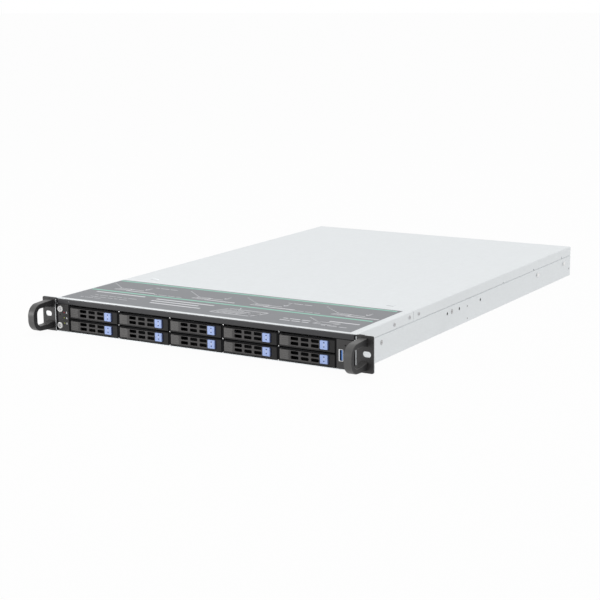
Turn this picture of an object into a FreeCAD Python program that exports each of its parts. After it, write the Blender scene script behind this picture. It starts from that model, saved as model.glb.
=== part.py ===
"""A 1U rack server as a parametric FreeCAD document.

X runs across the front, Y from the front to the rear, Z up. The origin is midway between the
two ear slots, on the rear faces of the ears, where they meet a rack's posts.
"""
import os
import re

import FreeCAD
import Part
import Sketcher

DOC = FreeCAD.newDocument("rack_server")

# Driving sizes in millimetres, angles in degrees.
SIZES = {
    "rack_span": 482.6, "unit_height": 43.7, "ear_reach": 22.3, "body_depth": 680.0,
    "over": 1.0, "sheet": 1.0, "panel_fit": 0.1, "ear_plate": 2.0, "ear_round": 2.0, "fold_round": 1.5,
    "slot_inset": 8.75, "slot_length": 11.0, "slot_width": 7.0,
    "seat_gap": 0.3, "lip_height": 12.8, "lid_seam": 145.8, "seam_gap": 0.6, "lid_setback": 2.0,
    "notch_radius": 2.2, "notch_tail": 36.9, "notch_pitch": 110.4, "notch_count": 3,
    "dash_length": 10.0, "dash_width": 2.0, "dash_rise": 0.5, "dash_spread": 180.0, "dash_setback": 17.0,
    "grip_reach": 38.3, "grip_band": 9.6, "grip_inset": 12.5, "grip_low": 3.0, "grip_high": 41.0,
    "grip_leg": 7.6, "grip_front": 7.4, "grip_foot": 2.6, "grip_outer": 15.0, "grip_inner": 7.0,
    "grip_taper": 2.2,
    "brow_low": 36.6, "brow_depth": 14.0, "panel_thickness": 2.0, "panel_low": 1.4, "panel_flange": 12.0,
    "control_width": 20.8, "control_gap": 0.4,
    "power_x": 6.5, "power_z": 29.8, "ident_x": 5.5, "ident_z": 8.1, "button_radius": 4.1,
    "button_gap": 0.2, "button_rise": 0.9, "button_length": 4.5,
    "lamp_x": 12.7, "lamp_width": 2.2, "lamp_height": 1.6, "lamp_low": 11.6, "lamp_pitch": 7.0,
    "lamp_count": 3, "pipe_length": 5.0, "control_inset": 4.0,
    "pinhole_x": 5.9, "pinhole_z": 22.2, "pinhole_radius": 0.8,
    "port_width": 5.8, "port_height": 14.0, "port_length": 14.0, "port_wall": 0.6, "port_z": 17.2,
    "port_x": 6.8, "tongue": 2.2,
    "bay_pitch": 78.16, "port_panel_least": 20.0, "row_low": 2.0, "row_pitch": 17.0, "cage_depth": 121.0,
    "divider": 1.2, "cage_top": 36.4, "ledge_width": 2.4, "ledge_height": 0.8, "ledge_start": 10.0,
    "cage_setback": 0.8,
    "tray_width": 75.2, "tray_height": 15.6, "bezel_depth": 9.0, "tray_lip": 1.3,
    "lever_left": 0.0, "lever_right": 55.0, "lever_gap": 0.3, "lever_thick": 2.6,
    "knuckle_radius": 2.0, "pin_radius": 1.0, "pin_gap": 0.05, "pin_inset": 2.6, "pin_depth": 2.2,
    "vent_width": 10.6, "vent_pitch": 13.75, "vent_start": 16.0, "vent_low": 2.9, "vent_high": 8.7,
    "vent_tall": 4.1, "window_start": 14.5, "window_rim": 1.0,
    "push_left": 55.6, "push_right": 67.8, "push_low": 2.4, "push_high": 13.3, "push_gap": 0.2,
    "push_rise": 1.6, "push_length": 5.0, "push_travel": 1.5,
    "drive_width": 69.85, "drive_length": 100.4, "drive_height": 9.5, "drive_low": 1.3,
    "rail_height": 11.0, "rail_tail": 1.5, "rail_inset": 0.6, "rail_low": 0.8,
    "groove_left": 1.6, "groove_width": 11.0, "groove_height": 0.9, "groove_depth": 0.5, "groove_low": 3.4,
    "groove_pitch": 2.7, "groove_count": 4,
    "board_thick": 1.6, "plug_width": 33.0, "plug_height": 5.0, "plug_low": 3.5, "plug_inset": 8.0,
    "backplane_low": 3.0,
    "fan_size": 40.0, "fan_depth": 28.0, "fan_count": 5, "fan_start": 157.0, "fan_margin": 31.0,
    "duct_sides": 24, "hub_sides": 14, "hole_sides": 12, "pin_sides": 12, "post_setback": 4.0, "rotor_gap": 2.0,
    "fan_bore": 18.8, "fan_hub": 10.5, "fan_tip": 16.6, "fan_blades": 7, "fan_chord": 16.0,
    "fan_blade": 1.2, "blade_root": 1.5, "fan_lean": 35.0, "fan_post": 1.5, "fan_running": 0.05,
    "fan_arm": 3.0, "fan_rim": 0.5, "fan_gap": 0.2,
    "bracket_lip": 12.0, "bracket_end": 3.0,
    "board_gap": 24.0, "port_zone": 64.0, "main_left": 4.0, "main_tail": 3.0, "standoff": 4.8,
    "standoff_radius": 3.0, "standoff_inset": 8.0, "sink_width": 78.0, "sink_depth": 106.0,
    "sink_height": 27.0,
    "sink_base": 5.0, "sink_fins": 12, "sink_fin": 1.2, "sink_socket": 4.0,
    "sink_first": 40.0, "sink_margin": 47.0,
    "module_length": 133.35, "module_height": 30.0, "module_thick": 3.5, "module_pitch": 9.0,
    "module_count": 8, "module_first": 12.0, "module_margin": 18.0, "module_gap": 8.65,
    "supply_width": 100.0, "supply_height": 40.5, "supply_depth": 225.0, "supply_right": 3.0,
    "inlet_width": 24.0, "inlet_height": 17.0, "inlet_depth": 15.0, "inlet_x": 22.0,
    "supply_frame": 5.0, "supply_fan": 14.0, "supply_fan_x": 28.0, "supply_fan_depth": 12.0,
    "supply_hub": 7.0, "guard_width": 1.2, "guard_depth": 1.2, "guard_pitch": 5.2,
    "jack_width": 16.0, "jack_height": 13.6, "jack_depth": 21.0, "jack_first": 60.0,
    "jack_pitch": 18.0, "jack_hole_width": 11.8, "jack_hole_height": 8.2, "jack_hole_depth": 13.0,
    "jack_sill": 2.0,
    "usb_width": 14.5, "usb_height": 15.6, "usb_depth": 18.0, "usb_first": 34.0,
    "usb_wall": 0.7, "usb_slot": 6.7, "usb_reach": 13.0, "usb_tongue": 2.0,
    "latch_width": 6.0, "latch_height": 2.2,
    "video_side": 5.5, "video_slant": 1.6, "video_rim": 2.2, "video_reach": 6.0,
    "video_width": 31.0, "video_height": 12.5, "video_depth": 16.0, "video_first": 104.0,
    "cover_width": 120.0, "cover_height": 18.0, "cover_gap": 39.0, "cover_low": 23.5, "cover_rim": 4.0,
    "riser_length": 110.0, "riser_height": 28.0, "riser_setback": 24.0, "riser_inset": 14.0,
    "louvre_width": 5.5, "louvre_pitch": 9.0, "louvre_margin": 6.0,
    "stud_radius": 3.2, "stud_rise": 1.5, "stud_tail": 28.2, "stud_pitch": 104.4,
    "rail_hole": 2.0, "rail_hole_one": 239.8, "rail_hole_two": 276.1, "rail_hole_three": 342.6,
}

# Places that follow from the driving sizes.
PLACES = {
    "front_y": "-(sheet + ear_plate)",
    "rear_y": "front_y + body_depth",
    "floor_z": "-unit_height / 2",
    "body_width": "rack_span - 2 * ear_reach",
    "half_body": "body_width / 2",
    "half_span": "rack_span / 2",
    "joggle": "sheet + seat_gap",
    "joggle_z": "unit_height - lip_height - seat_gap - joggle",
    "slot_spacing": "rack_span - 2 * slot_inset",
    "grip_spread": "half_span - grip_inset",
    "port_left": "bay_right + port_x - port_width / 2",
    "port_bottom": "floor_z + port_z - port_height / 2",
    "board_back": "panel_thickness + pipe_length",
    "wall_top": "unit_height - sheet - seat_gap",
    "inner_half": "half_body - joggle - sheet",
    "bend": "sheet * tan(22.5)",
    "bay_left": "-half_body + control_width",
    "bay_columns": "floor((body_width - control_width - port_panel_least) / bay_pitch)",
    "bay_right": "bay_left + bay_columns * bay_pitch",
    "tray_x": "bay_left + (bay_pitch - tray_width) / 2",
    "pin_x": "lever_left + pin_inset",
    "drive_x": "(tray_width - drive_width) / 2",
    "drive_back": "bezel_depth + seat_gap + drive_length",
    "cage_back": "front_y + cage_setback + cage_depth",
    "fan_y": "front_y + fan_start",
    "fan_floor": "2 * sheet",
    "fan_pitch": "(body_width - 2 * fan_margin - fan_size) / (fan_count - 1)",
    "main_width": "body_width - 2 * sheet - main_left - board_gap - supply_width - supply_right",
    "main_depth": "module_margin + module_length + module_gap + sink_depth + port_zone",
    "main_x": "-half_body + sheet + main_left",
    "main_y": "rear_y - sheet - main_tail - main_depth",
    "main_z": "sheet + standoff",
    "main_top": "main_z + board_thick",
    "port_floor": "floor_z + main_top",
    "sink_y": "main_y + main_depth - port_zone - sink_depth",
    "supply_x": "half_body - sheet - supply_right - supply_width",
    "supply_y": "rear_y - sheet - supply_depth",
    "cover_x": "supply_x - cover_gap - cover_width",
    "louvre_left": "main_x + video_first + video_width + louvre_margin",
    "louvre_low": "main_top + louvre_margin / 2",
    "louvre_high": "cover_low - louvre_margin / 2",
    "louvre_count": "floor((supply_x - louvre_margin - louvre_left) / louvre_pitch)",
    "stud_y": "rear_y - stud_tail - stud_pitch",
}


def formula(text):
    """Write a rule in size and place names as an expression on the sheet."""
    def swap(match):
        word = match.group(0)
        if word in PLACES:
            return "(" + formula(PLACES[word]) + ")"
        return "Sizes." + word if word in SIZES else word
    return re.sub(r"[a-z_]+", swap, str(text))


def amount(text):
    """The present value of a rule."""
    result = SHEET.evalExpression(formula(text))
    return float(getattr(result, "Value", result))


def make_sheet():
    sheet = DOC.addObject("Spreadsheet::Sheet", "Sizes")
    for row, (alias, number) in enumerate(SIZES.items(), start=1):
        sheet.set(f"A{row}", alias.replace("_", " "))
        sheet.set(f"B{row}", str(number))
        sheet.setAlias(f"B{row}", alias)
    DOC.recompute()
    return sheet


SHEET = make_sheet()
NODES = []


def place(thing, x=0, y=0, z=0):
    """Bind the place of an object; z is measured from the origin's level."""
    for axis, rule in (("x", x), ("y", y), ("z", z)):
        thing.setExpression("Placement.Base." + axis, formula(rule))
    return thing


def block(size, corner):
    """A box of three length rules, with its low corner at three place rules."""
    box = DOC.addObject("Part::Box", "block")
    for side, rule in zip(("Length", "Width", "Height"), size):
        box.setExpression(side, formula(rule))
    return place(box, *corner)


def turned_to(along):
    """The rotation that takes an object's own Z to an axis of the document."""
    axis, angle = {"x": ((0, 1, 0), 90), "y": ((1, 0, 0), -90), "z": ((0, 0, 1), 0)}[along]
    return FreeCAD.Rotation(FreeCAD.Vector(*axis), angle)


def rod(radius, length, start, along):
    """A cylinder that runs from start along +X, +Y or +Z."""
    cylinder = DOC.addObject("Part::Cylinder", "rod")
    cylinder.Placement = FreeCAD.Placement(FreeCAD.Vector(), turned_to(along))
    cylinder.setExpression("Radius", formula(radius))
    cylinder.setExpression("Height", formula(length))
    return place(cylinder, *start)


def many_sided(sides, radius, length, start, along):
    """A regular prism whose corners lie on the radius; it runs from start along +X, +Y or +Z."""
    column = DOC.addObject("Part::Prism", "many_sided")
    column.Polygon = int(amount(sides))
    column.Placement = FreeCAD.Placement(FreeCAD.Vector(), turned_to(along))
    column.setExpression("Circumradius", formula(radius))
    column.setExpression("Height", formula(length))
    return place(column, *start)


def clear_hole(sides, radius, length, start, along):
    """A many-sided cutter whose flats lie on the radius, so that all within the radius is clear."""
    return many_sided(sides, f"({radius}) / cos(180 / {sides})", length, start, along)


def fuse(*pieces):
    whole = DOC.addObject("Part::MultiFuse", "fuse")
    whole.Shapes = list(pieces)
    whole.Refine = True
    return whole


def cut(base, *tools):
    """Take tools away from base."""
    rest = DOC.addObject("Part::Cut", "cut")
    rest.Base = base
    rest.Tool = tools[0] if len(tools) == 1 else fuse(*tools)
    return rest


def group(*pieces):
    """Separate solids side by side in one object."""
    bunch = DOC.addObject("Part::Compound", "group")
    bunch.Links = list(pieces)
    return bunch


def node(thing, label):
    """Name a finished sub-part and list it for writing."""
    thing.Label = label
    NODES.append(thing)
    return thing


def sketch_on(body, role, corners):
    """A closed outline of straight runs whose corners are bound to rules."""
    sketch = body.newObject("Sketcher::SketchObject", "outline")
    planes = [item for item in body.Origin.OriginFeatures if item.Role == role]
    sketch.AttachmentSupport = [(planes[0], "")]
    sketch.MapMode = "FlatFace"
    spots = [FreeCAD.Vector(amount(across), amount(up), 0) for across, up in corners]
    for first, last in zip(spots, spots[1:] + spots[:1]):
        sketch.addGeometry(Part.LineSegment(first, last), False)
    for run, corner in enumerate(corners):
        sketch.addConstraint(Sketcher.Constraint("Coincident", run, 2, (run + 1) % len(corners), 1))
        for kind, rule in zip(("DistanceX", "DistanceY"), corner):
            index = sketch.addConstraint(Sketcher.Constraint(kind, -1, 1, run, 1, amount(rule)))
            sketch.setExpression(f"Constraints[{index}]", formula(rule))
    return sketch


def prism(role, corners, length, start):
    """A body padded from an outline: XZ_Plane along +Y, YZ_Plane along +X, XY_Plane along +Z."""
    body = DOC.addObject("PartDesign::Body", "prism")
    pad = body.newObject("PartDesign::Pad", "pad")
    pad.Profile = sketch_on(body, role, corners)
    pad.setExpression("Length", formula(length))
    pad.Reversed = role == "XZ_Plane"
    body.Tip = pad
    place(body, *start)
    DOC.recompute()
    return body


def round_edges(body, radius, chosen):
    """Fillet the edges of the body's last feature for which chosen(middle, direction) is true."""
    base = body.Tip
    names = []
    for index, edge in enumerate(base.Shape.Edges, start=1):
        if isinstance(edge.Curve, Part.Line):
            middle = edge.valueAt((edge.FirstParameter + edge.LastParameter) / 2)
            if chosen(middle, edge.tangentAt(edge.FirstParameter)):
                names.append(f"Edge{index}")
    fillet = body.newObject("PartDesign::Fillet", "round")
    fillet.Base = (base, names)
    fillet.setExpression("Radius", formula(radius))
    body.Tip = fillet
    DOC.recompute()
    return body


def mirrored(corners):
    """Corners of the right half of an outline, followed by their mirror images on the left."""
    return corners + [("-(" + across + ")", up) for across, up in reversed(corners)]


def copy_at(master, x=0, y=0, z=0):
    return place(group(master), x, y, z)


def side_start(side, inner, width):
    """Low X of a piece whose inner edge lies at distance inner from the middle plane."""
    return inner if side > 0 else f"-({inner}) - ({width})"


# --- sheet-metal case ---

def ear_slot(side, start_y, thickness):
    """The cutter of one rounded rack slot."""
    straight = "slot_length - slot_width"
    middle = f"{side} * slot_spacing / 2"
    ends = [f"{middle} + {sign} * ({straight}) / 2" for sign in (-1, 1)]
    pieces = [block((straight, thickness, "slot_width"), (ends[0], start_y, "-slot_width / 2"))]
    pieces += [rod("slot_width / 2", thickness, (end, start_y, 0), "y") for end in ends]
    return fuse(*pieces)


def chassis_base():
    """Folded tray: floor, side walls joggled in for the covers, and ear flanges."""
    outer = [("half_body", "0"), ("half_body", "joggle_z"), ("half_body - joggle", "joggle_z + joggle"),
             ("half_body - joggle", "wall_top")]
    inner = [(across, up) for across, up in reversed(wall_inside("0"))]
    tray = prism("XZ_Plane", mirrored(outer + inner), "body_depth", (0, "front_y", "floor_z"))
    flanges = []
    for side in (-1, 1):
        edge = [("half_body - sheet / 2", "0"), ("half_span", "0"), ("half_span", "unit_height"),
                ("half_body + seat_gap", "unit_height"), ("half_body + seat_gap", "joggle_z"),
                ("half_body - sheet / 2", "joggle_z")]
        corners = [(f"{side} * ({across})", up) for across, up in edge]
        flange = prism("XZ_Plane", corners, "sheet", (0, "-sheet", "floor_z"))
        span = amount("half_span")
        flanges.append(round_edges(flange, "ear_round", lambda middle, way: abs(middle.x) > span - 0.01
                                   and abs(way.y) > 0.9))
    standoffs = [many_sided(6, "standoff_radius", "standoff + sheet / 2",
                            (f"main_x + main_width / 2 + {across} * (main_width / 2 - standoff_inset)",
                             f"main_y + main_depth / 2 + {back} * (main_depth / 2 - standoff_inset)",
                             "floor_z + sheet / 2"), "z")
                 for across in (-1, 0, 1) for back in (-1, 0, 1)]
    cutters = [ear_slot(side, "-sheet - over", "sheet + 2 * over") for side in (-1, 1)]
    for start in ("-half_body - over", "half_body - sheet - over"):
        cutters.append(rod("rail_hole", "sheet + 2 * over", (start, "rail_hole_one", 0), "x"))
        cutters.append(clear_hole("hole_sides", "rail_hole", "sheet + 2 * over",
                                  (start, "rail_hole_two", 0), "x"))
        cutters.append(rod("rail_hole", "sheet + 2 * over", (start, "rail_hole_three", 0), "x"))
    return node(cut(fuse(tray, *flanges, *standoffs), *cutters), "chassis_base")


def wall_inside(gap):
    """Corners of the case's inner face on the right, from the floor up, moved in by a gap."""
    return [(f"half_body - sheet - {gap}", "sheet"), (f"half_body - sheet - {gap}", "joggle_z - bend"),
            (f"inner_half - {gap}", "joggle_z + joggle - bend"), (f"inner_half - {gap}", "wall_top")]


def rear_panel():
    """Rear wall, cut out for the supply, the ports and the slot cover."""
    plate = prism("XZ_Plane", mirrored(wall_inside("panel_fit")), "sheet", (0, "rear_y - sheet", "floor_z"))
    cutters = [block((width, "sheet + 2 * over", height), (left, "rear_y - sheet - over", low))
               for width, height, left, low in rear_windows()]
    return node(cut(plate, *cutters), "rear_panel")


def rear_windows():
    """Width, height, left edge and lower edge of each opening in the rear wall."""
    windows = [("supply_width - 2 * supply_frame", "supply_height - 2 * supply_frame",
                "supply_x + supply_frame", "floor_z + sheet + supply_frame"),
               ("cover_width - 2 * cover_rim", "cover_height - 2 * cover_rim", "cover_x + cover_rim",
                "floor_z + cover_low + cover_rim")]
    for width, height, left in rear_ports_list():
        windows.append((f"{width} + 2 * seat_gap", f"{height} + 2 * seat_gap", f"main_x + {left} - seat_gap",
                        "floor_z + main_top - seat_gap"))
    for step in range(int(amount("louvre_count"))):
        windows.append(("louvre_width", "louvre_high - louvre_low", f"louvre_left + {step} * louvre_pitch",
                        "floor_z + louvre_low"))
    return windows


def rear_ports_list():
    """Width, height and left edge, from the board's left edge, of each port block."""
    ports = [("video_width", "video_height", "video_first"), ("usb_width", "usb_height", "usb_first")]
    ports += [("jack_width", "jack_height", f"(jack_first + {place_no} * jack_pitch)") for place_no in (0, 1)]
    return ports


def cover_shell(start, length):
    """A U-shaped sheet with rounded folds that laps over the side walls."""
    outer = [("half_body", "unit_height - lip_height"), ("half_body", "unit_height")]
    inner = [("half_body - sheet", "unit_height - sheet"), ("half_body - sheet", "unit_height - lip_height")]
    corners = outer + [("-(half_body)", "unit_height"), ("-(half_body)", "unit_height - lip_height"),
                       ("-(half_body - sheet)", "unit_height - lip_height"),
                       ("-(half_body - sheet)", "unit_height - sheet")] + inner
    shell = prism("XZ_Plane", corners, length, (0, start, "floor_z"))
    top = amount("unit_height")
    return round_edges(shell, "fold_round", lambda middle, way: middle.z > top - 0.01 and abs(way.y) > 0.9)


def front_cover():
    start = "front_y + lid_setback"
    return node(cover_shell(start, f"front_y + lid_seam - seam_gap - ({start})"), "front_cover")


def top_cover():
    """Rear cover with two pressed dashes and half-round notches in its side lips."""
    shell = cover_shell("front_y + lid_seam", "body_depth - lid_seam")
    dashes = [block(("dash_length", "dash_width", "dash_rise + sheet / 2"),
                    (f"{side} * dash_spread - dash_length / 2", "front_y + lid_seam + dash_setback",
                     "-floor_z - sheet / 2")) for side in (-1, 1)]
    notches = [clear_hole("hole_sides", "notch_radius", "body_width + 2 * over",
                          ("-half_body - over", f"rear_y - notch_tail - {step} * notch_pitch",
                           "-floor_z - lip_height"), "x")
               for step in range(int(amount("notch_count")))]
    return node(cut(fuse(shell, *dashes), *notches), "top_cover")


def rack_ear(side, label):
    inner = "half_body + control_gap"
    width = f"half_span - ({inner})"
    left = side_start(side, inner, width)
    corners = [("0", "0"), (width, "0"), (width, "unit_height"), ("0", "unit_height")]
    plate = prism("XZ_Plane", corners, "ear_plate", (left, "front_y", "floor_z"))
    outer_x = amount(width) if side > 0 else 0
    round_edges(plate, "ear_round", lambda middle, way: abs(middle.x - outer_x) < 0.01 and abs(way.y) > 0.9)
    return node(cut(plate, ear_slot(side, "front_y - over", "ear_plate + 2 * over")), label)


def pull_handle(side, label):
    """C-shaped grip: a flat band bent forward from the ear, thicker where its legs meet the ear."""
    corners = [("0", "grip_low"), ("0", "grip_low + grip_leg + grip_foot"),
               ("-grip_reach / 3", "grip_low + grip_leg"),
               ("-grip_reach + grip_front", "grip_low + grip_leg"),
               ("-grip_reach + grip_front", "grip_high - grip_leg"),
               ("-grip_reach / 3", "grip_high - grip_leg"),
               ("0", "grip_high - grip_leg - grip_foot"), ("0", "grip_high"),
               ("-grip_reach", "grip_high - grip_taper"), ("-grip_reach", "grip_low + grip_taper")]
    left = side_start(side, "grip_spread - grip_band / 2", "grip_band")
    band = prism("YZ_Plane", corners, "grip_band", (left, "front_y", "floor_z"))
    reach = amount("grip_reach")
    front = amount("grip_front")
    round_edges(band, "grip_outer", lambda middle, way: middle.y < 0.01 - reach and abs(way.x) > 0.9)
    round_edges(band, "grip_inner", lambda middle, way: abs(middle.y + reach - front) < 0.01
                and abs(way.x) > 0.9)
    return node(band, label)


# --- front panels ---

def front_brow():
    """Black strip above the bays, folded back under the front cover."""
    top = "unit_height - sheet"
    corners = [("0", "brow_low"), ("0", top), ("brow_depth", top), ("brow_depth", f"{top} - sheet"),
               ("sheet", f"{top} - sheet"), ("sheet", "brow_low")]
    reach = "inner_half - seat_gap"
    strip = prism("YZ_Plane", corners, f"2 * ({reach})", (f"-({reach})", "front_y", "floor_z"))
    return node(strip, "front_brow")


def panel_with_flange(left, width, flange_left):
    """A front panel with a flange that runs back along its inner side."""
    height = "brow_low - seat_gap - panel_low"
    plate = block((width, "panel_thickness", height), (left, "front_y", "floor_z + panel_low"))
    flange = block(("sheet", "panel_flange", height), (flange_left, "front_y", "floor_z + panel_low"))
    return fuse(plate, flange)


def lamp_block(step, start, length):
    """A block the size of one lamp window, for the hole and for the light pipe in it."""
    return block(("lamp_width", length, "lamp_height"),
                 ("-half_body + lamp_x - lamp_width / 2", start,
                  f"floor_z + lamp_low + {step} * lamp_pitch - lamp_height / 2"))


def control_panel():
    left = "-inner_half + seat_gap"
    right = "bay_left - divider / 2 - seat_gap"
    deep = "panel_thickness + 2 * over"
    start = "front_y - over"
    holes = [clear_hole("duct_sides", "button_radius + button_gap", deep,
                        (f"-half_body + {name}_x", start, f"floor_z + {name}_z"), "y")
             for name in ("power", "ident")]
    holes.append(clear_hole("hole_sides", "pinhole_radius", deep,
                            ("-half_body + pinhole_x", start, "floor_z + pinhole_z"), "y"))
    holes += [lamp_block(step, start, deep) for step in range(int(amount("lamp_count")))]
    panel = panel_with_flange(left, f"{right} - ({left})", f"{right} - sheet")
    return node(cut(panel, *holes), "control_panel")


def round_button(name, label):
    """A round push button that stands a little proud of the panel."""
    cap = rod("button_radius", "button_length",
              (f"-half_body + {name}_x", "front_y - button_rise", f"floor_z + {name}_z"), "y")
    return node(cap, label)


def control_board():
    """Light pipes and the small board that carries them behind the panel."""
    pipes = [lamp_block(step, "front_y", "board_back") for step in range(int(amount("lamp_count")))]
    board = block(("control_width - 2 * control_inset + lamp_height", "board_thick",
                   "brow_low - seat_gap - panel_low - 2 * control_inset"),
                  ("-half_body + control_inset", "front_y + board_back",
                   "floor_z + panel_low + control_inset"))
    return node(group(*pipes, board), "control_board")


def usb_panel():
    left = "bay_right + divider / 2 + seat_gap"
    hole = block(("port_width", "panel_thickness + 2 * over", "port_height"),
                 ("port_left", "front_y - over", "port_bottom"))
    panel = panel_with_flange(left, f"inner_half - seat_gap - ({left})", left)
    return node(cut(panel, hole), "usb_panel")


def usb_port():
    """Upright socket: a thin metal shell, closed at the back, round a tongue."""
    shell = block(("port_width", "port_length", "port_height"), ("port_left", "front_y", "port_bottom"))
    hollow = block(("port_width - 2 * port_wall", "port_length - port_wall + over",
                    "port_height - 2 * port_wall"),
                   ("port_left + port_wall", "front_y - over", "port_bottom + port_wall"))
    tongue = block(("tongue", "port_length - port_wall", "port_height - 4 * port_wall"),
                   ("port_left + port_width / 2", "front_y + port_wall / 2", "port_bottom + 2 * port_wall"))
    return node(fuse(cut(shell, hollow), tongue), "usb_port")


# --- drive bays ---

def drive_cage():
    """Partitions between the columns, a top plate, and ledges that the trays run on."""
    start = "front_y + cage_setback"
    top_low = "cage_top - sheet"
    pieces = [block(("bay_right - bay_left + divider", "cage_depth - ledge_start", "sheet"),
                    ("bay_left - divider / 2", f"{start} + ledge_start", f"floor_z + {top_low}"))]
    columns = int(amount("bay_columns"))
    for column in range(columns + 1):
        middle = f"bay_left + {column} * bay_pitch"
        pieces.append(block(("divider", "cage_depth", f"{top_low} - sheet / 2"),
                            (f"{middle} - divider / 2", start, "floor_z + sheet")))
        for row in (0, 1):
            left = f"{middle} - ledge_width" if column > 0 else f"{middle} - divider / 2"
            right = f"{middle} + ledge_width" if column < columns else f"{middle} + divider / 2"
            low = f"row_low + {row} * row_pitch - seat_gap - ledge_height"
            if row == 0:
                low = "sheet"
            height = "ledge_height" if row else "row_low - seat_gap - sheet"
            pieces.append(block((f"{right} - ({left})", "cage_depth - ledge_start", height),
                                (left, f"{start} + ledge_start", f"floor_z + {low}")))
    return node(fuse(*pieces), "drive_cage")


def tray_master():
    """Bezel with a lever recess and a button pocket, a frame of two rails, the drive and the hinge pin."""
    bezel = block(("tray_width", "bezel_depth", "tray_height"), (0, 0, 0))
    rails = [block(("drive_x - rail_inset", "drive_length + rail_tail", "rail_height"),
                   (left, "bezel_depth", "rail_low")) for left in ("rail_inset", "tray_width - drive_x")]
    recess = block(("lever_right - lever_left", "lever_thick + 2 * seat_gap", "tray_height - 2 * tray_lip"),
                   ("lever_left", "-seat_gap", "tray_lip"))
    hinge_room = block(("pin_inset + knuckle_radius + 2 * seat_gap",
                        "pin_depth + knuckle_radius + 2 * seat_gap", "tray_height - 2 * tray_lip"),
                       ("lever_left", "-seat_gap", "tray_lip"))
    window = block(("lever_right - window_rim - window_start", "bezel_depth + over",
                    "tray_height - 2 * (tray_lip + window_rim)"),
                   ("window_start", 0, "tray_lip + window_rim"))
    pocket = block(("push_right - push_left", "over + push_length + push_travel + seat_gap",
                    "push_high - push_low"), ("push_left", "-over", "push_low"))
    frame = cut(fuse(bezel, *rails), recess, hinge_room, window, pocket)
    pin = many_sided("pin_sides", "pin_radius", "tray_height - 2 * tray_lip",
                     ("pin_x", "pin_depth", "tray_lip"), "z")
    drive = block(("drive_width", "drive_length", "drive_height"),
                  ("drive_x", "bezel_depth + seat_gap", "drive_low"))
    return group(frame, pin, drive)


def lever_master():
    """Front plate with finger grooves, six vents and a knuckle round the hinge pin."""
    low = "tray_lip + lever_gap / 3"
    height = "tray_height - 2 * (tray_lip + lever_gap / 3)"
    plate = block(("lever_right - lever_gap - pin_x", "lever_thick", height), ("pin_x", 0, low))
    knuckle = many_sided("hole_sides", "knuckle_radius", height, ("pin_x", "pin_depth", low), "z")
    holes = [clear_hole("pin_sides", "pin_radius + pin_gap", "tray_height", ("pin_x", "pin_depth", 0), "z")]
    for column in (0, 1, 2):
        for level in ("vent_low", "vent_high"):
            holes.append(block(("vent_width", "lever_thick + 2 * over", "vent_tall"),
                               (f"vent_start + {column} * vent_pitch", "-over", level)))
    grooves = [block(("groove_width", "groove_depth + over", "groove_height"),
                     ("groove_left", "-over", f"groove_low + {step} * groove_pitch"))
               for step in range(int(amount("groove_count")))]
    return cut(fuse(plate, knuckle), *holes, *grooves)


def push_master():
    """Square release button, free in its pocket by a small gap all round."""
    return block(("push_right - push_left - 2 * push_gap", "push_length + push_rise",
                  "push_high - push_low - 2 * push_gap"),
                 ("push_left + push_gap", "-push_rise", "push_low + push_gap"))


def drive_bays():
    masters = (("drive_tray", tray_master()), ("tray_lever", lever_master()), ("tray_button", push_master()))
    number = 0
    for column in range(int(amount("bay_columns"))):
        for row in (0, 1):
            number += 1
            for name, master in masters:
                copy = copy_at(master, f"tray_x + {column} * bay_pitch", "front_y",
                               f"floor_z + row_low + {row} * row_pitch")
                node(copy, f"{name}_{number:02d}")


def drive_backplane():
    """Upright board on the rear edges of the cage, with one connector for each drive."""
    board = block(("bay_right - bay_left + divider", "board_thick", "cage_top - backplane_low - sheet"),
                  ("bay_left - divider / 2", "cage_back", "floor_z + backplane_low"))
    plugs = []
    length = "cage_back - (front_y + drive_back) - seat_gap"
    for column in range(int(amount("bay_columns"))):
        for row in (0, 1):
            plugs.append(block(("plug_width", f"{length} + board_thick / 2", "plug_height"),
                               (f"tray_x + {column} * bay_pitch + drive_x + plug_inset",
                                "front_y + drive_back + seat_gap",
                                f"floor_z + row_low + {row} * row_pitch + plug_low")))
    return node(fuse(board, *plugs), "drive_backplane")


# --- cooling ---

def fan_x(index):
    return f"({index} - (fan_count - 1) / 2) * fan_pitch"


def fan_frame_master():
    """Square frame with a round duct, four arms and the post that the rotor turns on."""
    frame = block(("fan_size", "fan_depth", "fan_size"), ("-fan_size / 2", 0, "-fan_size / 2"))
    duct = cut(frame, clear_hole("duct_sides", "fan_bore", "fan_depth + 2 * over", (0, "-over", 0), "y"))
    arms = [block(("2 * (fan_bore + fan_rim)", "fan_arm", "fan_arm"),
                  ("-fan_bore - fan_rim", "fan_depth - fan_arm", "-fan_arm / 2")),
            block(("fan_arm", "fan_arm", "2 * (fan_bore + fan_rim)"),
                  ("-fan_arm / 2", "fan_depth - fan_arm", "-fan_bore - fan_rim"))]
    seat = many_sided("hub_sides", "fan_hub", "fan_arm", (0, "fan_depth - fan_arm", 0), "y")
    post = many_sided("pin_sides", "fan_post", "fan_depth - post_setback", (0, "post_setback", 0), "y")
    return fuse(duct, *arms, seat, post)


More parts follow.
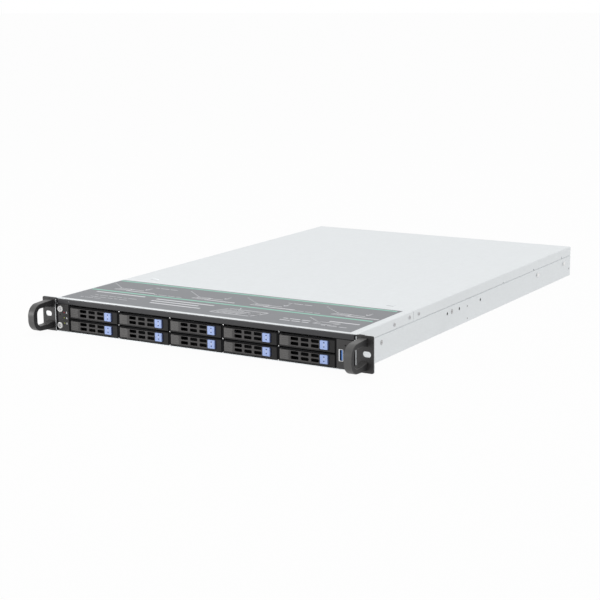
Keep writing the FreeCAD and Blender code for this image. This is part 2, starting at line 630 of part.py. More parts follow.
def fan_rotor_master():
    """Hub with leaning blades; a bore runs on the frame's post."""
    hub = many_sided("hub_sides", "fan_hub", "fan_depth - fan_arm - 1.5 * rotor_gap",
                     (0, "rotor_gap", 0), "y")
    blades = []
    for index in range(int(amount("fan_blades"))):
        blade = DOC.addObject("Part::Box", "blade")
        for side, rule in (("Length", "fan_tip - fan_hub + blade_root"), ("Width", "fan_chord"),
                           ("Height", "fan_blade")):
            blade.setExpression(side, formula(rule))
        turn = FreeCAD.Rotation(FreeCAD.Vector(0, 1, 0), 360.0 * index / amount("fan_blades"))
        lean = FreeCAD.Rotation(FreeCAD.Vector(1, 0, 0), amount("fan_lean"))
        start = FreeCAD.Vector(amount("fan_hub - blade_root"), -amount("fan_chord / 2"),
                               -amount("fan_blade / 2"))
        spin = turn.multiply(lean)
        middle = FreeCAD.Vector(0, amount("(fan_depth - fan_arm) / 2"), 0)
        blade.Placement = FreeCAD.Placement(middle + spin.multVec(start), spin)
        blades.append(blade)
    bore = clear_hole("pin_sides", "fan_post + fan_running", "fan_depth",
                      (0, "post_setback - rotor_gap / 4", 0), "y")
    return cut(fuse(hub, *blades), bore)


def fan_wall():
    """Fans side by side in a U-shaped bracket on the floor, and their rotors."""
    inside = "fan_depth + 2 * fan_gap"
    corners = [("0", "0"), (f"{inside} + 2 * sheet", "0"), (f"{inside} + 2 * sheet", "bracket_lip"),
               (f"{inside} + sheet", "bracket_lip"), (f"{inside} + sheet", "sheet"),
               ("sheet", "sheet"), ("sheet", "bracket_lip"), ("0", "bracket_lip")]
    reach = "half_body - sheet - bracket_end"
    bracket = prism("YZ_Plane", corners, f"2 * ({reach})",
                    (f"-({reach})", "fan_y - sheet - fan_gap", "floor_z + sheet"))
    frame, rotor = fan_frame_master(), fan_rotor_master()
    frames = []
    middle_z = "floor_z + fan_floor + fan_size / 2"
    for index in range(int(amount("fan_count"))):
        frames.append(copy_at(frame, fan_x(index), "fan_y", middle_z))
        node(copy_at(rotor, fan_x(index), "fan_y", middle_z), f"fan_rotor_{index + 1}")
    node(group(bracket, *frames), "fan_wall")


# --- electronics ---

SINK_LEFTS = ("main_x + sink_first", "main_x + main_width - sink_margin - sink_width")


def motherboard():
    board = block(("main_width", "main_depth", "board_thick"), ("main_x", "main_y", "floor_z + main_z"))
    sockets = [block(("sink_width", "sink_depth", "sink_socket + board_thick / 2"),
                     (left, "sink_y", "floor_z + main_top - board_thick / 2")) for left in SINK_LEFTS]
    return node(fuse(board, *sockets), "motherboard")


def heatsinks():
    """Two finned blocks on the processor sockets."""
    sinks = []
    fins = int(amount("sink_fins"))
    low = "floor_z + main_top + sink_socket"
    for left in SINK_LEFTS:
        base = block(("sink_width", "sink_depth", "sink_base"), (left, "sink_y", low))
        blades = [block(("sink_fin", "sink_depth", "sink_height - sink_base / 2"),
                        (f"{left} + {step} * (sink_width - sink_fin) / (sink_fins - 1)", "sink_y",
                         f"{low} + sink_base / 2")) for step in range(fins)]
        sinks.append(fuse(base, *blades))
    return node(group(*sinks), "processor_heatsinks")


def memory_modules():
    modules = [block(("module_thick", "module_length", "module_height"),
                     (f"main_x + module_first + {index} * module_pitch", "main_y + module_margin",
                      "floor_z + main_top")) for index in range(int(amount("module_count")))]
    return node(group(*modules), "memory_modules")


def stacked_socket(left):
    """Two flat sockets one above the other, each with a tongue."""
    pieces = [block(("usb_width", "usb_depth", "usb_height"), (left, "rear_y - usb_depth", "port_floor"))]
    hollows, tongues = [], []
    for level in (0, 1):
        low = f"port_floor + usb_wall + {level} * (usb_slot + usb_wall)"
        hollows.append(block(("usb_width - 2 * usb_wall", "usb_reach + over", "usb_slot"),
                             (f"{left} + usb_wall", "rear_y - usb_reach", low)))
        tongues.append(block(("usb_width - 4 * usb_wall", "usb_reach", "usb_tongue"),
                             (f"{left} + 2 * usb_wall", "rear_y - usb_reach - usb_wall / 2",
                              f"{low} + (usb_slot - usb_tongue) / 2")))
    return fuse(cut(pieces[0], *hollows), *tongues)


def network_socket(left):
    """A socket with a notch above it for the plug's latch."""
    case = block(("jack_width", "jack_depth", "jack_height"), (left, "rear_y - jack_depth", "port_floor"))
    hollow = block(("jack_hole_width", "jack_hole_depth + over", "jack_hole_height"),
                   (f"{left} + (jack_width - jack_hole_width) / 2", "rear_y - jack_hole_depth",
                    "port_floor + jack_sill"))
    notch = block(("latch_width", "jack_hole_depth + over", "latch_height + seat_gap"),
                  (f"{left} + (jack_width - latch_width) / 2", "rear_y - jack_hole_depth",
                   "port_floor + jack_sill + jack_hole_height - seat_gap"))
    return cut(case, hollow, notch)


def video_socket(left):
    """A flat socket with a recess that narrows downwards."""
    case = block(("video_width", "video_depth", "video_height"), (left, "rear_y - video_depth", "port_floor"))
    top = "video_height - video_rim"
    corners = [("video_side + video_slant", "video_rim"),
               ("video_width - video_side - video_slant", "video_rim"),
               ("video_width - video_side", top), ("video_side", top)]
    recess = prism("XZ_Plane", corners, "video_reach + over", (left, "rear_y - video_reach", "port_floor"))
    return cut(case, recess)


def rear_ports():
    """Sockets on the board's rear edge that reach through the rear wall."""
    makers = {"video_width": video_socket, "usb_width": stacked_socket, "jack_width": network_socket}
    sockets = [makers[width](f"main_x + {left}") for width, height, left in rear_ports_list()]
    return node(group(*sockets), "rear_ports")


def power_supply():
    """Closed case with an inlet and a guarded fan in its rear face."""
    case = block(("supply_width", "supply_depth", "supply_height"),
                 ("supply_x", "supply_y", "floor_z + sheet"))
    inlet = block(("inlet_width", "inlet_depth + over", "inlet_height"),
                  ("supply_x + supply_width - inlet_x - inlet_width / 2",
                   "supply_y + supply_depth - inlet_depth",
                   "floor_z + sheet + supply_height / 2 - inlet_height / 2"))
    middle = ("supply_x + supply_fan_x", "rear_y - sheet - supply_fan_depth",
              "floor_z + sheet + supply_height / 2")
    duct = clear_hole("duct_sides", "supply_fan", "supply_fan_depth + over", middle, "y")
    hub = many_sided("hub_sides", "supply_hub", "supply_fan_depth - guard_depth", middle, "y")
    bars = [block(("2 * supply_fan + guard_width", "guard_depth", "guard_width"),
                  ("supply_x + supply_fan_x - supply_fan - guard_width / 2", "rear_y - sheet - guard_depth",
                   f"floor_z + sheet + supply_height / 2 + {step} * guard_pitch - guard_width / 2"))
            for step in (-2, -1, 0, 1, 2)]
    return node(fuse(cut(case, inlet, duct), hub, *bars), "power_supply")


def expansion():
    cover = block(("cover_width", "sheet", "cover_height"),
                  ("cover_x", "rear_y - 2 * sheet", "floor_z + cover_low"))
    riser = block(("board_thick", "riser_length", "riser_height"),
                  ("cover_x + cover_width - riser_inset", "rear_y - riser_setback - riser_length",
                   "floor_z + main_top"))
    return node(group(cover, riser), "riser_and_slot_cover")


def rail_studs():
    studs = []
    for start in ("-half_body - stud_rise", "half_body"):
        for step in (0, 1):
            studs.append(rod("stud_radius", "stud_rise", (start, f"stud_y + {step} * stud_pitch", 0), "x"))
    return node(group(*studs), "rail_studs")


def check_and_write():
    DOC.recompute()
    for thing in DOC.Objects:
        if any(word in thing.State for word in ("Invalid", "Error")):
            raise RuntimeError(f"{thing.Name} {thing.Label} failed: {thing.State}")
    for thing in NODES:
        if thing.Shape.isNull() or not thing.Shape.isValid():
            raise RuntimeError(f"{thing.Label} has no valid shape")
    os.makedirs("parts", exist_ok=True)
    for thing in NODES:
        thing.Shape.exportStep(f"parts/{thing.Label}.step")
    print(len(NODES), "sub-parts written")


chassis_base()
rear_panel()
front_cover()
top_cover()
rack_ear(-1, "left_ear")
rack_ear(1, "right_ear")
pull_handle(-1, "left_handle")
pull_handle(1, "right_handle")
front_brow()
control_panel()
round_button("power", "power_button")
round_button("ident", "ident_button")
control_board()
usb_panel()
usb_port()
drive_cage()
drive_bays()
drive_backplane()
fan_wall()
motherboard()
heatsinks()
memory_modules()
rear_ports()
power_supply()
expansion()
rail_studs()
check_and_write()
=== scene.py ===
"""The looks of a 1U rack server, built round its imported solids.

Lengths are in millimetres in the row frame; MM turns them into Blender's metres.
"""
import math

import bmesh
import bpy
from mathutils import Matrix, Vector


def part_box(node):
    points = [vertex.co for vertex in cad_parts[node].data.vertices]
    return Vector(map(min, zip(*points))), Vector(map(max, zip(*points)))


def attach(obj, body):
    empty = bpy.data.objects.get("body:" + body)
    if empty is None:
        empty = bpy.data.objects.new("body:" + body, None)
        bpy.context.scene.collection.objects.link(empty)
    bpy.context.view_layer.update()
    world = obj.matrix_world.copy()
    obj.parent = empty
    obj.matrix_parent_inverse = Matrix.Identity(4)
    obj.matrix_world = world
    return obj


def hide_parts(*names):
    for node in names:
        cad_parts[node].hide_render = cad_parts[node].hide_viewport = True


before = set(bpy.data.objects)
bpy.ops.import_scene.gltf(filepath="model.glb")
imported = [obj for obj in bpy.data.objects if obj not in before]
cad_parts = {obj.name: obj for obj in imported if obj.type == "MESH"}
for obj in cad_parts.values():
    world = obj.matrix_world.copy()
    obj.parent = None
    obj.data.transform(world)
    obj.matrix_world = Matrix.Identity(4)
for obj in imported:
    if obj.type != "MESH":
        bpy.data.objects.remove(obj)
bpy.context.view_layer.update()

MM = 0.001


# --- places taken from the frame ---

def low_of(node):
    """The low corner of a node's box."""
    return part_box(node)[0] / MM


def high_of(node):
    """The high corner of a node's box."""
    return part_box(node)[1] / MM


FRONT = low_of("control_panel").y
FLOOR = low_of("chassis_base").z
TOP = high_of("front_cover").z
HALF = high_of("front_cover").x
# Thickness of the label and of the ink on it.
FILM = 0.12
PRINT = 0.06
BAYS = sorted(name[-2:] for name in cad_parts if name.startswith("drive_tray_"))
FANS = sorted(name[-1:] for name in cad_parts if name.startswith("fan_rotor_"))


# --- materials ---

def shader_of(name):
    """A new material, its node tree and its main shader."""
    material = bpy.data.materials.new(name)
    material.use_nodes = True
    tree = material.node_tree
    return material, tree, tree.nodes["Principled BSDF"]


def tones(tree, factor, dark, light):
    """A colour that runs from dark to light with a factor between 0 and 1."""
    mix = tree.nodes.new("ShaderNodeMix")
    mix.data_type = "RGBA"
    mix.inputs["A"].default_value = (*dark, 1)
    mix.inputs["B"].default_value = (*light, 1)
    tree.links.new(factor, mix.inputs["Factor"])
    return mix.outputs["Result"]


def spread(tree, factor, low, high):
    """A number that runs from low to high with a factor between 0 and 1."""
    scale = tree.nodes.new("ShaderNodeMapRange")
    scale.inputs["To Min"].default_value = low
    scale.inputs["To Max"].default_value = high
    tree.links.new(factor, scale.inputs["Value"])
    return scale.outputs["Result"]


def noise(tree, grain, stretch=(1, 1, 1)):
    """Noise with a grain in millimetres, drawn out along the axes by the stretch."""
    where = tree.nodes.new("ShaderNodeTexCoord")
    shape = tree.nodes.new("ShaderNodeMapping")
    shape.inputs["Scale"].default_value = [1 / (grain * MM * part) for part in stretch]
    pattern = tree.nodes.new("ShaderNodeTexNoise")
    pattern.inputs["Scale"].default_value = 1.0
    tree.links.new(where.outputs["Object"], shape.inputs["Vector"])
    tree.links.new(shape.outputs["Vector"], pattern.inputs["Vector"])
    return pattern.outputs["Fac"]


def raise_by(tree, shader, height, depth, strength):
    """Let a height between 0 and 1 raise a shader's surface by a depth in millimetres."""
    bump = tree.nodes.new("ShaderNodeBump")
    bump.inputs["Distance"].default_value = depth * MM
    bump.inputs["Strength"].default_value = strength
    tree.links.new(height, bump.inputs["Height"])
    tree.links.new(bump.outputs["Normal"], shader.inputs["Normal"])


def surface(name, colour, roughness, metallic=0.0, grain=0.7, mottle=0.08, relief=0.2, stretch=(1, 1, 1),
            shine=0.5):
    """A finish with a faint change of tone and gloss and a fine relief."""
    material, tree, shader = shader_of(name)
    factor = noise(tree, grain, stretch)
    dark = [part * (1 - mottle) for part in colour]
    light = [min(part * (1 + mottle), 1.0) for part in colour]
    tree.links.new(tones(tree, factor, dark, light), shader.inputs["Base Color"])
    tree.links.new(spread(tree, factor, roughness - 0.06, roughness + 0.06), shader.inputs["Roughness"])
    shader.inputs["Metallic"].default_value = metallic
    shader.inputs["Specular IOR Level"].default_value = shine
    if relief:
        raise_by(tree, shader, factor, 0.05, relief)
    return material


def galvanised(name, colour):
    """Zinc-coated sheet: a spangle of flat crystals over faint rolling marks."""
    material, tree, shader = shader_of(name)
    where = tree.nodes.new("ShaderNodeTexCoord")
    crystals = tree.nodes.new("ShaderNodeTexVoronoi")
    crystals.inputs["Scale"].default_value = 1 / (5.0 * MM)
    tree.links.new(where.outputs["Object"], crystals.inputs["Vector"])
    grey = tree.nodes.new("ShaderNodeRGBToBW")
    tree.links.new(crystals.outputs["Color"], grey.inputs["Color"])
    streaks = noise(tree, 3.0, (1, 30, 1))
    both = tree.nodes.new("ShaderNodeMath")
    both.operation = "MULTIPLY_ADD"
    both.inputs[1].default_value = 0.5
    tree.links.new(grey.outputs["Val"], both.inputs[0])
    half = tree.nodes.new("ShaderNodeMath")
    half.operation = "MULTIPLY"
    half.inputs[1].default_value = 0.5
    tree.links.new(streaks, half.inputs[0])
    tree.links.new(half.outputs["Value"], both.inputs[2])
    factor = both.outputs["Value"]
    dark = [part * 0.965 for part in colour]
    light = [min(part * 1.035, 1.0) for part in colour]
    tree.links.new(tones(tree, factor, dark, light), shader.inputs["Base Color"])
    tree.links.new(spread(tree, factor, 0.42, 0.56), shader.inputs["Roughness"])
    shader.inputs["Metallic"].default_value = 0.85
    return material


def lamp(name, colour, strength):
    """A lit lens."""
    material, _, shader = shader_of(name)
    shader.inputs["Base Color"].default_value = (*colour, 1)
    shader.inputs["Roughness"].default_value = 0.25
    shader.inputs["Emission Color"].default_value = (*colour, 1)
    shader.inputs["Emission Strength"].default_value = strength
    return material


ZINC = galvanised("zinc_sheet", (0.76, 0.785, 0.80))
ZINC_INSIDE = galvanised("zinc_inside", (0.62, 0.63, 0.64))
POWDER = surface("black_powder_coat", (0.031, 0.030, 0.030), 0.42, grain=0.5, relief=0.3)
BROW = surface("brow_coat", (0.029, 0.029, 0.032), 0.38, grain=0.5, relief=0.2)
GRIP = surface("grip_coat", (0.080, 0.079, 0.078), 0.40, grain=0.4, relief=0.25)
# Painted shade: a darker copy of the grip coat for the handles' flat sides, which face away from the light.
GRIP_SIDE_SHADE = surface("grip_side_painted_shade", (0.026, 0.026, 0.027), 0.50, grain=0.4, relief=0.25, shine=0.3)
BEZEL = surface("bezel_plastic", (0.010, 0.0095, 0.010), 0.50, grain=0.4, relief=0.3, shine=0.3)
LEVER = surface("lever_plastic", (0.047, 0.044, 0.044), 0.46, grain=0.4, relief=0.3)
BLUE = surface("blue_plastic", (0.44, 0.57, 0.98), 0.32, grain=1.5, mottle=0.05, relief=0.0)
RIBBED = surface("ribbed_plastic", (0.118, 0.114, 0.112), 0.44, grain=0.4, relief=0.3)
# Painted shade: dark blue for the button's right side in shade; the same colour makes the button's two dots.
BLUE_SHADE_AND_DOTS = surface("blue_shade_and_dots", (0.010, 0.020, 0.075), 0.35, grain=1.5, relief=0.0)
SOCKET_BLUE = surface("socket_blue", (0.06, 0.20, 0.55), 0.35, grain=1.5, relief=0.0)
# Painted shade: a near-black with little gloss, put in gaps, holes and deep recesses where shade falls.
PAINTED_SHADE = surface("painted_shade_black", (0.008, 0.008, 0.009), 0.70, grain=0.8, relief=0.0, shine=0.1)
SHADE = surface("shaded_zinc", (0.34, 0.34, 0.34), 0.5, metallic=0.6, grain=0.8, relief=0.0)
INK = surface("white_ink", (0.80, 0.81, 0.84), 0.55, grain=1.0, relief=0.0)
GREY_INK = surface("grey_ink", (0.11, 0.11, 0.12), 0.55, grain=1.0, relief=0.0)
LABEL = surface("label_film", (0.232, 0.241, 0.260), 0.50, grain=2.5, mottle=0.05, relief=0.0)
MINT = surface("mint_ink", (0.30, 0.68, 0.54), 0.45, grain=1.5, relief=0.0)
SATIN = surface("turned_aluminium", (0.82, 0.82, 0.81), 0.40, metallic=0.55, grain=0.4, relief=0.15)
SCREW = surface("screw_steel", (0.58, 0.58, 0.59), 0.36, metallic=0.9, grain=0.6, relief=0.1)
STEEL = surface("plated_steel", (0.78, 0.78, 0.78), 0.26, metallic=0.95, grain=0.8, relief=0.1)
SHELL = surface("plated_shell", (0.74, 0.75, 0.76), 0.28, metallic=0.95, grain=0.6, relief=0.1)
BOARD = surface("solder_mask", (0.018, 0.10, 0.045), 0.38, grain=1.2, mottle=0.15, relief=0.2)
CHIP = surface("chip_plastic", (0.022, 0.022, 0.024), 0.45, grain=0.5, relief=0.1)
GOLD = surface("contact_gold", (0.83, 0.60, 0.22), 0.28, metallic=1.0, grain=0.6, relief=0.0)
FINS = surface("fin_aluminium", (0.70, 0.71, 0.72), 0.36, metallic=0.9, grain=0.5, stretch=(1, 20, 1))
FAN = surface("fan_plastic", (0.028, 0.028, 0.030), 0.42, grain=0.5)
DRIVE = surface("drive_metal", (0.50, 0.51, 0.52), 0.40, metallic=0.8, grain=0.6)
RED_LAMP = lamp("red_lens", (0.26, 0.025, 0.035), 0.25)
GREEN_LAMP = lamp("green_lens", (0.22, 0.25, 0.05), 0.25)
AMBER_LAMP = lamp("amber_lens", (0.60, 0.30, 0.04), 0.25)


# --- shapes ---

def cuboid(shape, low, high):
    """Add a box between two corners."""
    low, high = Vector(low) * MM, Vector(high) * MM
    size = high - low
    made = bmesh.ops.create_cube(shape, size=1.0)["verts"]
    for vert in made:
        vert.co = Vector(part * span for part, span in zip(vert.co, size)) + (low + high) / 2
    return made


AXIS_TURN = {"x": Matrix.Rotation(math.radians(90), 4, "Y"), "y": Matrix.Rotation(math.radians(-90), 4, "X"),
             "z": Matrix.Identity(4)}


def drum(shape, centre, radius, length, axis, sides=32):
    """Add a cylinder that runs from its centre point along an axis."""
    turn = AXIS_TURN[axis]
    shift = Matrix.Translation(Vector(centre) * MM) @ turn @ Matrix.Translation((0, 0, length * MM / 2))
    bmesh.ops.create_cone(shape, cap_ends=True, segments=sides, radius1=radius * MM, radius2=radius * MM,
                          depth=length * MM, matrix=shift)


def rounded(left, low, right, high, radius, steps=4):
    """Corner points of a rectangle with round corners."""
    corners = ((right - radius, high - radius, 0), (left + radius, high - radius, 90),
               (left + radius, low + radius, 180), (right - radius, low + radius, 270))
    points = []
    for across, up, start in corners:
        for step in range(steps + 1):
            angle = math.radians(start + 90 * step / steps)
            points.append((across + radius * math.cos(angle), up + radius * math.sin(angle)))
    return points


def circle(across, up, radius, sides=24):
    """Corner points of a circle."""
    turns = [math.tau * step / sides for step in range(sides)]
    return [(across + radius * math.cos(turn), up + radius * math.sin(turn)) for turn in turns]


def cross(across, up, arm, width):
    """Outline of a plus sign."""
    arms = ((arm, width), (width, width), (width, arm), (-width, arm), (-width, width), (-arm, width),
            (-arm, -width), (-width, -width), (-width, -arm), (width, -arm), (width, -width), (arm, -width))
    return [(across + right, up + high) for right, high in arms]


def sheet_cut(shape, loops, start, end, axis):
    """Add a flat plate with holes: the first loop is its outline, the others are its holes."""
    curve = bpy.data.curves.new("outline", "CURVE")
    curve.dimensions = "2D"
    curve.fill_mode = "BOTH"
    curve.extrude = abs(end - start) * MM / 2
    for loop in loops:
        spline = curve.splines.new("POLY")
        spline.points.add(len(loop) - 1)
        for point, (across, up) in zip(spline.points, loop):
            point.co = (across * MM, up * MM, 0, 1)
        spline.use_cyclic_u = True
    holder = bpy.data.objects.new("outline", curve)
    flat = holder.to_mesh()
    flat.transform(Matrix.Translation((0, 0, (start + end) * MM / 2)))
    if axis == "y":
        flat.transform(Matrix(((1, 0, 0, 0), (0, 0, 1, 0), (0, 1, 0, 0), (0, 0, 0, 1))))
    if axis == "x":
        flat.transform(Matrix(((0, 0, 1, 0), (1, 0, 0, 0), (0, 1, 0, 0), (0, 0, 0, 1))))
    shape.from_mesh(flat)
    holder.to_mesh_clear()
    bpy.data.objects.remove(holder)
    bpy.data.curves.remove(curve)


def ease(shape, width, segments=2, sharp=30):
    """Merge a shape's flat faces and round its edges."""
    bmesh.ops.remove_doubles(shape, verts=shape.verts, dist=0.001 * MM)
    bmesh.ops.recalc_face_normals(shape, faces=shape.faces)
    bmesh.ops.dissolve_limit(shape, angle_limit=math.radians(1), verts=shape.verts, edges=shape.edges)
    edges = [edge for edge in shape.edges
             if edge.is_manifold and edge.calc_face_angle(0) > math.radians(sharp)]
    if width:
        bmesh.ops.bevel(shape, geom=edges, offset=width * MM, offset_type="OFFSET", segments=segments,
                        profile=0.5, affect="EDGES", clamp_overlap=True)
    return shape


def add(name, shape, body, material, replaced=()):
    """Make a piece from a shape, let it ride on a body and hide the CAD nodes that it stands for."""
    mesh = bpy.data.meshes.new(name)
    bmesh.ops.recalc_face_normals(shape, faces=shape.faces)
    for face in shape.faces:
        face.smooth = True
    shape.to_mesh(mesh)
    shape.free()
    mesh.set_sharp_from_angle(angle=math.radians(35))
    mesh.materials.append(material)
    thing = bpy.data.objects.new(name, mesh)
    bpy.context.scene.collection.objects.link(thing)
    even = thing.modifiers.new("even_shading", "WEIGHTED_NORMAL")
    even.keep_sharp = True
    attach(thing, body)
    if replaced:
        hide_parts(*replaced)
    return thing


def solids_of(node):
    """The separate solids of a CAD node, as shapes."""
    whole = bmesh.new()
    whole.from_mesh(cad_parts[node].data)
    bmesh.ops.remove_doubles(whole, verts=whole.verts, dist=0.001 * MM)
    unseen = set(whole.faces)
    shapes = []
    while unseen:
        queue = [unseen.pop()]
        spots, shape = {}, bmesh.new()
        while queue:
            face = queue.pop()
            for vert in face.verts:
                if vert not in spots:
                    spots[vert] = shape.verts.new(vert.co)
            shape.faces.new([spots[vert] for vert in face.verts])
            near = {other for edge in face.edges for other in edge.link_faces} & unseen
            unseen -= near
            queue += near
        shapes.append(shape)
    whole.free()
    return shapes


def size_of(shape):
    """Length, width and height of a shape in millimetres."""
    corners = [vert.co for vert in shape.verts]
    return Vector(max(c[axis] for c in corners) - min(c[axis] for c in corners) for axis in range(3)) / MM


def corner_of(shape):
    """The low corner of a shape in millimetres."""
    return Vector(min(vert.co[axis] for vert in shape.verts) for axis in range(3)) / MM


def joined(shapes):
    """One shape from several."""
    whole = bmesh.new()
    for shape in shapes:
        holder = bpy.data.meshes.new("joined")
        shape.to_mesh(holder)
        whole.from_mesh(holder)
        bpy.data.meshes.remove(holder)
        shape.free()
    return whole


def dress(node, body, material, width=0.3, segments=2):
    """Stand an eased copy of a whole CAD node in its place."""
    shape = joined(solids_of(node))
    return add(f"{node}_shown", ease(shape, width, segments), body, material, [node])


def screw(shape, centre, radius, height, axis, facing):
    """Add a pan head with a cross recess; facing is 1 or -1 along the axis."""
    across, up = {"x": (centre[1], centre[2]), "y": (centre[0], centre[2]), "z": (centre[0], centre[1])}[axis]
    base = centre["xyz".index(axis)]
    sheet_cut(shape, [circle(across, up, radius), cross(across, up, radius * 0.55, radius * 0.14)],
              base, base + facing * height, axis)
    drum(shape, centre, radius * 0.6, 0.2 * height, axis)


# --- case ---

def case():
    """The sheets, ears, handles and studs; the flat sides of the handles take a darker copy of the grip coat
    as painted shade.
    """
    dress("chassis_base", "chassis", ZINC, 0.2)
    dress("rear_panel", "chassis", ZINC, 0.15)
    dress("front_cover", "chassis", ZINC, 0.2)
    dress("top_cover", "top_cover", ZINC, 0.2)
    dress("rail_studs", "chassis", STEEL, 0.5)
    for side in ("left", "right"):
        dress(f"{side}_ear", "chassis", POWDER, 0.4)
        handle = dress(f"{side}_handle", "chassis", GRIP, 0.6)
        # Painted shade: faces that point sideways take the darker copy.
        handle.data.materials.append(GRIP_SIDE_SHADE)
        for face in handle.data.polygons:
            if abs(face.normal.x) > 0.95:
                face.material_index = 1
    dress("front_brow", "chassis", BROW, 0.3)


def side_screws():
    """Screws on both sides: countersunk ones in the walls with painted shade in and around their heads, pan
    heads on the cover lips.
    """
    sunk = ((59.3, -0.25), (253.5, 0.65))
    sunk_radius = 2.6
    fixed, lid = bmesh.new(), bmesh.new()
    for side in (-1, 1):
        for back, up in sunk:
            screw(fixed, (side * HALF, back, up), sunk_radius, 0.25, "x", side)
        for shape, back, up in ((fixed, 92.2, 14.65), (fixed, 132.5, 15.75), (lid, 157.6, 15.55)):
            screw(shape, (side * HALF, back, up), 2.3, 0.7, "x", side)
    add("side_screws", fixed, "chassis", SCREW)
    # Painted shade: darker zinc on the middle of each countersunk head and in a ring around it.
    recess_shade = bmesh.new()
    for side in (-1, 1):
        for back, up in sunk:
            drum(recess_shade, (side * (HALF + 0.1), back, up), 1.3, side * 0.22, "x", sides=20)
            sheet_cut(recess_shade, [circle(back, up, 3.1, 32), circle(back, up, sunk_radius, 32)],
                      side * HALF, side * (HALF + 0.05), "x")
    add("side_screw_recess_shade", recess_shade, "chassis", SHADE)
    add("cover_screws", lid, "top_cover", SCREW)


def side_marks():
    """Three small round marks on each side, a painted shadow line before each dash of the cover, a stud on
    the right ear.
    """
    marks = bmesh.new()
    for side in (-1, 1):
        for back, up, radius in ((303.7, 20.9, 1.4), (304.3, 4.3, 1.2), (674.1, 10.9, 1.4)):
            drum(marks, (side * (HALF - 0.1), FRONT + back, FLOOR + up), radius, side * 0.14, "x", sides=20)
    add("side_marks", marks, "chassis", SHADE)
    # Painted shadow: a thin dark line just ahead of each pressed dash of the cover.
    mark = bmesh.new()
    for middle in (-180.0, 180.0):
        cuboid(mark, (middle - 5.0, FRONT + 158.4, TOP), (middle + 5.0, FRONT + 159.8, TOP + 0.05))
    add("cover_dash_shadows", mark, "top_cover", SHADE)
    stud = bmesh.new()
    high = high_of("right_ear")
    cuboid(stud, (HALF + 3.0, FRONT + 0.2, high.z - 0.5), (HALF + 10.0, FRONT + 2.6, high.z + 0.45))
    add("ear_stud", ease(stud, 0.3, 3), "chassis", POWDER)


# --- label on the front cover ---

def stroke(shape, start, end, width):
    """Add a straight flat line on the label, between two places given from the case's front edge."""
    start, end = Vector(start), Vector(end)
    along = (end - start).normalized() * width / 2
    side = Vector((-along.y, along.x))
    corners = [start - along + side, start - along - side, end + along - side, end + along + side]
    verts = [shape.verts.new(Vector((corner.x, FRONT + corner.y, level)) * MM)
             for level in (TOP + FILM, TOP + FILM + PRINT) for corner in corners]
    shape.faces.new(verts[3::-1])
    shape.faces.new(verts[4:])
    for index in range(4):
        following = (index + 1) % 4
        shape.faces.new((verts[index], verts[following], verts[following + 4], verts[index + 4]))


def path(shape, points, closed, width=1.3):
    """Strokes that join a row of points."""
    ends = points[1:] + points[:1] if closed else points[1:]
    for start, end in zip(points, ends):
        stroke(shape, start, end, width)


def slanted(across, back, width, depth, lean=0.45):
    """A rectangle drawn in parallel perspective."""
    shift = depth * lean
    return [(across, back), (across + width, back), (across + width + shift, back + depth),
            (across + shift, back + depth)]


def arrow(shape, tip, length, turn):
    """An arrow that ends at its tip; the turn is the direction it points in."""
    tip, way = Vector(tip), Vector((math.cos(math.radians(turn)), math.sin(math.radians(turn))))
    side = Vector((-way.y, way.x))
    stroke(shape, tip - way * length, tip, 1.1)
    for sign in (-1, 1):
        stroke(shape, tip - way * 4.5 + side * sign * 3.0, tip, 1.1)


def dots(shape, start, end, count):
    """A row of dots that leads from one place to another."""
    start, end = Vector(start), Vector(end)
    for step in range(count):
        spot = start.lerp(end, step / (count - 1))
        stroke(shape, spot - Vector((0.4, 0)), spot + Vector((0.4, 0)), 1.6)


def dashes(shape, across, back, width, rows, pitch=6.0, thick=2.2):
    """Rows of short plain bars of uneven length."""
    for row in range(rows):
        left, step = across, row
        while left < across + width:
            length = 4.0 + 2.5 * (step * 3 % 4)
            stroke(shape, (left, back - row * pitch), (left + length, back - row * pitch), thick)
            left += length + thick + 2.5
            step += 1


def picture_module(shape, across, back):
    """A long thin device seen from the side, the place that it goes to, and an arrow."""
    dots(shape, (across, back + 36), (across + 27, back + 13), 6)
    path(shape, slanted(across + 24, back + 2, 22, 9), True, 1.2)
    stroke(shape, (across + 30, back + 6), (across + 46, back + 6), 1.8)
    stroke(shape, (across + 46, back + 9), (across + 66, back + 9), 1.6)
    stroke(shape, (across + 46, back + 1), (across + 88, back + 1), 3.0)
    arrow(shape, (across + 66, back + 14), 12, -100)


def picture_board(shape, across, back):
    """A board with sockets, a round part and an arrow."""
    path(shape, slanted(across, back, 58, 26), True, 1.8)
    for step in range(4):
        path(shape, slanted(across + 8 + 9 * step, back + 4, 4.5, 16), True)
    path(shape, circle(across + 56, back + 14, 7, 14), True, 1.8)
    arrow(shape, (across + 30, back + 18), 18, -70)


